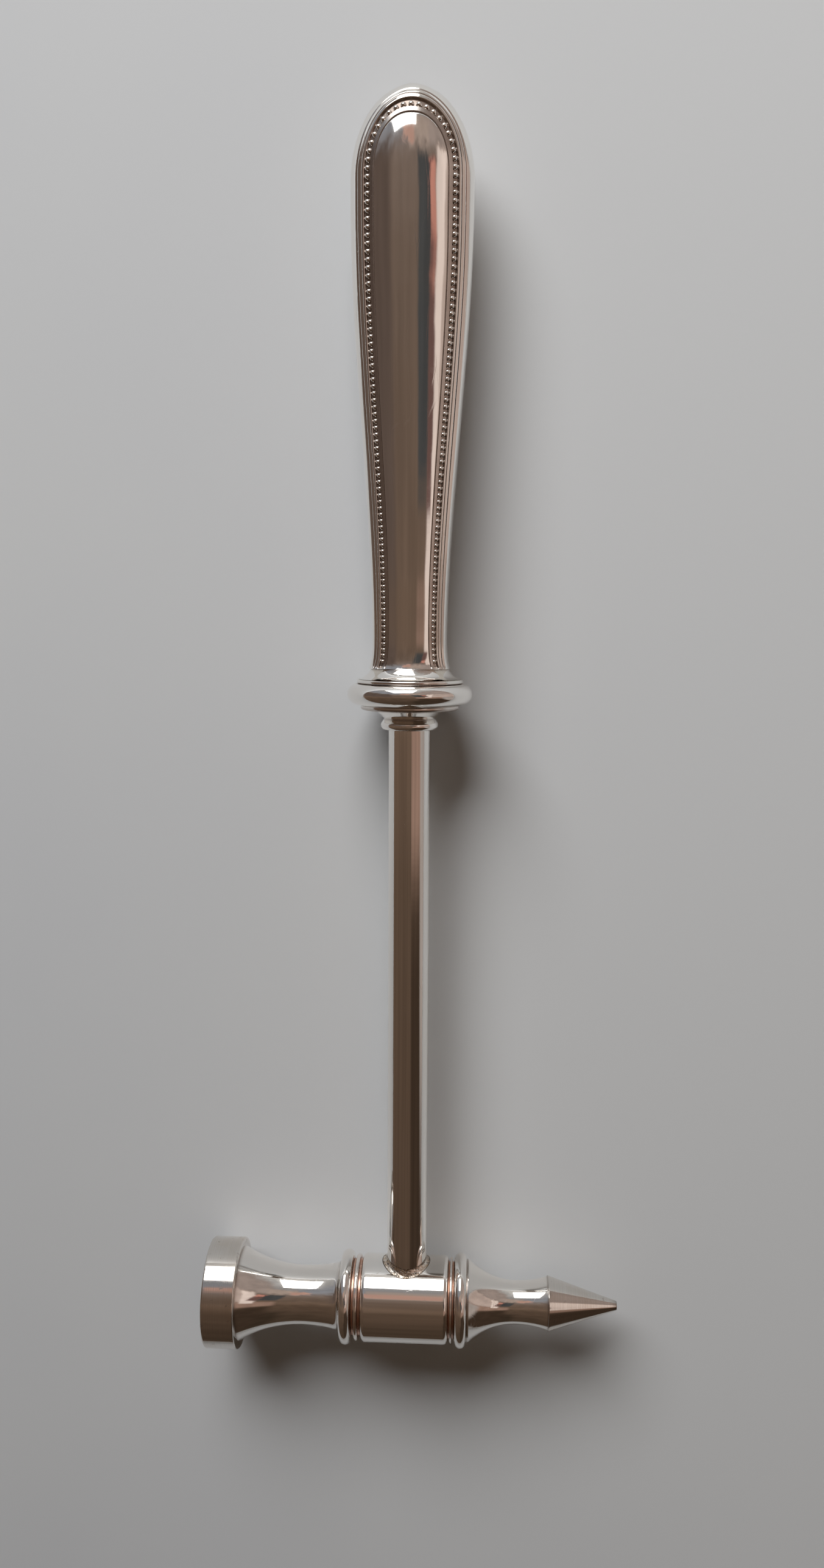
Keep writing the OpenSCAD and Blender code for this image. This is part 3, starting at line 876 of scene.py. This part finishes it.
def bead_places():
    """Bead centres along the channel, from the arch's top down one side: plan place and direction."""
    track = [arch_point(BEAD_LEVEL, a) for a in np.linspace(math.pi / 2, 0, 400)]
    track += [body_point(BEAD_LEVEL, y) for y in np.arange(arch_y - 0.2, shell_y + 0.5, -0.2)]
    track = np.array(track, float)
    step = np.hypot(*np.diff(track, axis=0).T)
    s = np.concatenate([[0], np.cumsum(step)])
    spots, at = [], 0.0
    while True:
        x, y = np.interp(at, s, track[:, 0]), np.interp(at, s, track[:, 1])
        if y < shell_y + 0.95:
            break
        ahead = np.array([np.interp(at + 0.05, s, track[:, 0]) - x,
                          np.interp(at + 0.05, s, track[:, 1]) - y])
        spots.append((x, y, ahead / np.linalg.norm(ahead)))
        at += float(np.interp(y, PITCH_AT, PITCH))
    return spots


def beads(side, name):
    """Round beads that stand in the channel, each a little dome of its own."""
    around, up = 18, 7
    points, faces, grime = [], [], []
    spots = bead_places()
    spots += [(-x, y, d * np.array([-1, 1])) for x, y, d in spots[1:]]
    rng = np.random.default_rng(11)
    for x, y, d in spots:
        n = facing(x, y)
        size = BEAD_R * float(band_scale(y)) ** 0.8 * (1 + rng.uniform(-0.025, 0.025))
        along = np.array([d[0], d[1], 0.0])
        along -= n * (along @ n)
        along /= np.linalg.norm(along)
        across = np.cross(n, along)
        middle = np.array([x, y, float(height(x, y))]) + n * CHANNEL
        start = len(points)
        for r in range(up):
            a = math.pi / 2 * r / up
            out, rise = size * math.cos(a), size * BEAD_RISE * math.sin(a) - (0 if r else SUNK)
            for k in range(around):
                b = 2 * math.pi * k / around
                points.append(middle + along * out * math.cos(b) + across * out * math.sin(b)
                              + n * rise)
                grime.append(0.9 if r == 0 else 0.45 if r == 1 else 0.0)
        points.append(middle + n * size * BEAD_RISE)
        grime.append(0.0)
        top = start + up * around
        for row in range(start, top - around, around):
            for k in range(around):
                m = (k + 1) % around
                faces.append([row + k, row + m, row + around + m, row + around + k])
        for k in range(around):
            faces.append([top - around + k, top - around + (k + 1) % around, top])
        faces.append([start + k for k in range(around)][::-1])
    points = np.array(points)
    points[:, 2] *= side
    return piece(name, points, outward(points, faces), SILVER_FLAT, (), grime,
                 sharp=SOFT)


for side, word in ((1, "front"), (-1, "back")):
    shell(side, f"handle_shell_{word}_stamped", f"handle_shell_{word}")
    beads(side, f"handle_beads_{word}")


# ---------------------------------------------------------------- carried-over CAD nodes
for node, material in (("tie_stud", INNER), ("tang_washer", INNER), ("tang_nut", INNER),
                       ("handle_filler", CEMENT)):
    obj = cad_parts[node]
    for slot in obj.material_slots:
        slot.material = material
    if not obj.material_slots:
        obj.data.materials.append(material)


# ---------------------------------------------------------------- floor, light and surroundings
def sheet(name, points, material):
    """One flat face that isn't part of the object."""
    mesh = bpy.data.meshes.new(name)
    mesh.from_pydata(points, [], [(0, 1, 2, 3)])
    obj = bpy.data.objects.new(name, mesh)
    bpy.context.scene.collection.objects.link(obj)
    mesh.materials.append(material)
    return obj


def floor():
    """A pale matt table top, with painted light: its colour grows a little lighter toward the right."""
    material, t = new_material("floor_pale")
    place = t.place()
    cloud = t.noise(place, 9.0, 3.0, 0.5)
    base = t.mix(t.remap(cloud, 0.35, 0.65, 0.0, 1.0), (0.70, 0.70, 0.71, 1), (0.725, 0.722, 0.72, 1))
    across = t.put("ShaderNodeSeparateXYZ", {0: place}).outputs[0]
    # painted light: the base colour brightens toward the right, standing in for light that falls unevenly
    # on the floor
    base = t.mix(t.remap(across, -0.08, 0.08, 0.0, 1.0), base, (0.79, 0.787, 0.785, 1))
    shader = t.put("ShaderNodeBsdfPrincipled", {"Base Color": base, "Roughness": 0.75})
    shader.inputs["Specular IOR Level"].default_value = 0.05
    t.put("ShaderNodeOutputMaterial", {"Surface": shader.outputs[0]})
    half = 0.9
    sheet("floor", [(-half, -half, 0), (half, -half, 0), (half, half, 0), (-half, half, 0)], material)


# each pane in metres: its distance from the origin, left and right edges, foot and top
PANES = ((0.80, -0.324, 0.125, 0.148, 0.70), (0.365, -0.20, 0.03, 0.08, 0.36))


def window():
    """Two bright panes beyond the handle's end. They show only in the metal and light nothing else."""
    material, t = new_material("window_glow")
    glow = t.put("ShaderNodeEmission")
    glow.inputs["Color"].default_value = (1.0, 1.0, 1.0, 1.0)
    glow.inputs["Strength"].default_value = 3.2
    t.put("ShaderNodeOutputMaterial", {"Surface": glow.outputs[0]})
    for y, left, right, low, high in PANES:
        pane = sheet("window", [(left, y, low), (right, y, low), (right, y, high), (left, y, high)],
                     material)
        for rays in ("camera", "diffuse", "shadow", "transmission"):
            setattr(pane, "visible_" + rays, False)


def lamp(name, place, size, power, colour):
    """An oval lamp that points at the middle of the floor. The metal doesn't mirror it."""
    data = bpy.data.lights.new(name, "AREA")
    data.shape = "ELLIPSE"
    data.size, data.size_y = size
    data.energy = power
    data.color = colour
    obj = bpy.data.objects.new(name, data)
    bpy.context.scene.collection.objects.link(obj)
    obj.location = place
    obj.rotation_mode = "QUATERNION"
    obj.rotation_quaternion = (-Vector(place)).to_track_quat("-Z", "Y")
    obj.visible_glossy = False


def surroundings():
    """A dim warm room with a pale drape on the right. Only the metal mirrors it; the camera sees grey."""
    world = bpy.data.worlds.new("room")
    bpy.context.scene.world = world
    world.use_nodes = True
    t = Tree(world.node_tree)
    way = t.put("ShaderNodeTexCoord").outputs["Generated"]
    x, y, z = t.put("ShaderNodeSeparateXYZ", {0: way}).outputs
    ripple = t.remap(t.noise(way, 7.0, 3.0, 0.6), 0.3, 0.7, -1.0, 1.0)
    y = t.math("ADD", y, t.math("MULTIPLY", ripple, t.remap(y, 0.3, 0.5, 0.0, 0.05, True)))
    x = t.math("ADD", x, t.math("MULTIPLY", ripple, t.remap(y, 0.0, 0.5, 0.004, 0.03, True)))
    leaning = t.math("ADD", x, t.math("MULTIPLY", t.math("SUBTRACT", y, 0.25), 0.45))

    def between(value, low, high, soft):
        a = t.remap(value, low - soft, low + soft, 0.0, 1.0, True)
        b = t.remap(value, high - soft, high + soft, 1.0, 0.0, True)
        return t.math("MULTIPLY", a, b)

    # from the room behind the camera up to the wall with the window
    tones = [(-1.0, (62, 50, 40)), (-0.5, (77, 62, 51)), (-0.22, (85, 69, 57)),
             (-0.05, (101, 83, 70)), (0.28, (99, 84, 74)), (0.45, (118, 104, 96)),
             (0.62, (128, 122, 120)), (0.93, (160, 158, 156)), (1.0, (188, 184, 180))]
    colour = rgb(*tones[0][1])
    for (low, _), (high, tone) in zip(tones, tones[1:]):
        colour = t.mix(t.remap(y, low, high, 0.0, 1.0), colour, rgb(*tone))
    # the red-brown strip beside the dark one
    ember = t.mix(t.remap(t.noise(way, 14.0, 2.0), 0.44, 0.58, 0.0, 1.0),
                  rgb(112, 77, 72), rgb(182, 126, 111))
    ember = t.mix(t.remap(y, 0.24, 0.30, 0.0, 1.0), rgb(100, 75, 70), ember)
    patches = [
        # across, up the view, softness, colour
        (x, (-2.0, -0.48), (0.0, 0.5), 0.08, (85, 72, 65)),
        (x, (0.12, 2.0), (-2.0, -0.60), 0.10, (52, 42, 33)),
        (x, (0.30, 2.0), (-2.0, -0.22), 0.10, (56, 44, 35)),
        (x, (0.25, 2.0), (-0.20, 0.02), 0.05, (138, 112, 99)),
        (x, (-0.80, -0.08), (0.50, 0.80), 0.12, (126, 127, 132)),
        (x, (0.28, 2.0), (0.47, 0.9), 0.08, (142, 128, 121)),
        (x, (-0.10, 0.36), (0.44, 0.68), 0.05, (154, 138, 128)),
        (x, (-0.24, 0.04), (0.47, 0.60), 0.03, (178, 142, 128)),
        (x, (0.50, 2.0), (0.02, 0.46), 0.03, (168, 150, 141)),
        (x, (0.515, 0.68), (-0.04, 0.44), 0.018, (210, 193, 184)),
        (leaning, (0.16, 0.43), (0.10, 0.41), 0.035, (66, 66, 66)),
        (leaning, (0.42, 0.54), (0.08, 0.38), 0.02, ember),
        (x, (0.90, 2.0), (-0.6, 0.0), 0.04, (150, 140, 134)),
    ]
    for value, xs, ys, soft, shade in patches:
        inside = t.math("MULTIPLY", between(value, *xs, soft), between(y, *ys, soft))
        colour = t.mix(inside, colour, shade if shade is ember else rgb(*shade))
    colour = t.mix(t.remap(z, -0.04, 0.03, 0.0, 1.0), rgb(168, 163, 159), colour)
    uneven = t.remap(t.noise(way, 5.0, 3.0), 0.35, 0.65, 0.96, 1.18)
    room = t.put("ShaderNodeBackground", {"Color": colour, "Strength": uneven})
    seen = t.put("ShaderNodeBackground")
    seen.inputs["Color"].default_value = rgb(188, 187, 185)
    which = t.put("ShaderNodeLightPath").outputs["Is Camera Ray"]
    both = t.put("ShaderNodeMixShader", {0: which, 1: room.outputs[0], 2: seen.outputs[0]})
    t.put("ShaderNodeOutputWorld", {"Surface": both.outputs[0]})
    world.cycles_visibility.diffuse = False


floor()
window()
surroundings()
lamp("key", (-0.28, 0.90, 0.64), (0.9, 0.62), 13.0, (0.965, 0.985, 1.0))
lamp("fill", (0.45, 0.20, 1.15), (1.2, 1.2), 1.1, (1.0, 0.76, 0.56))
bpy.context.scene.view_settings.view_transform = "Standard"
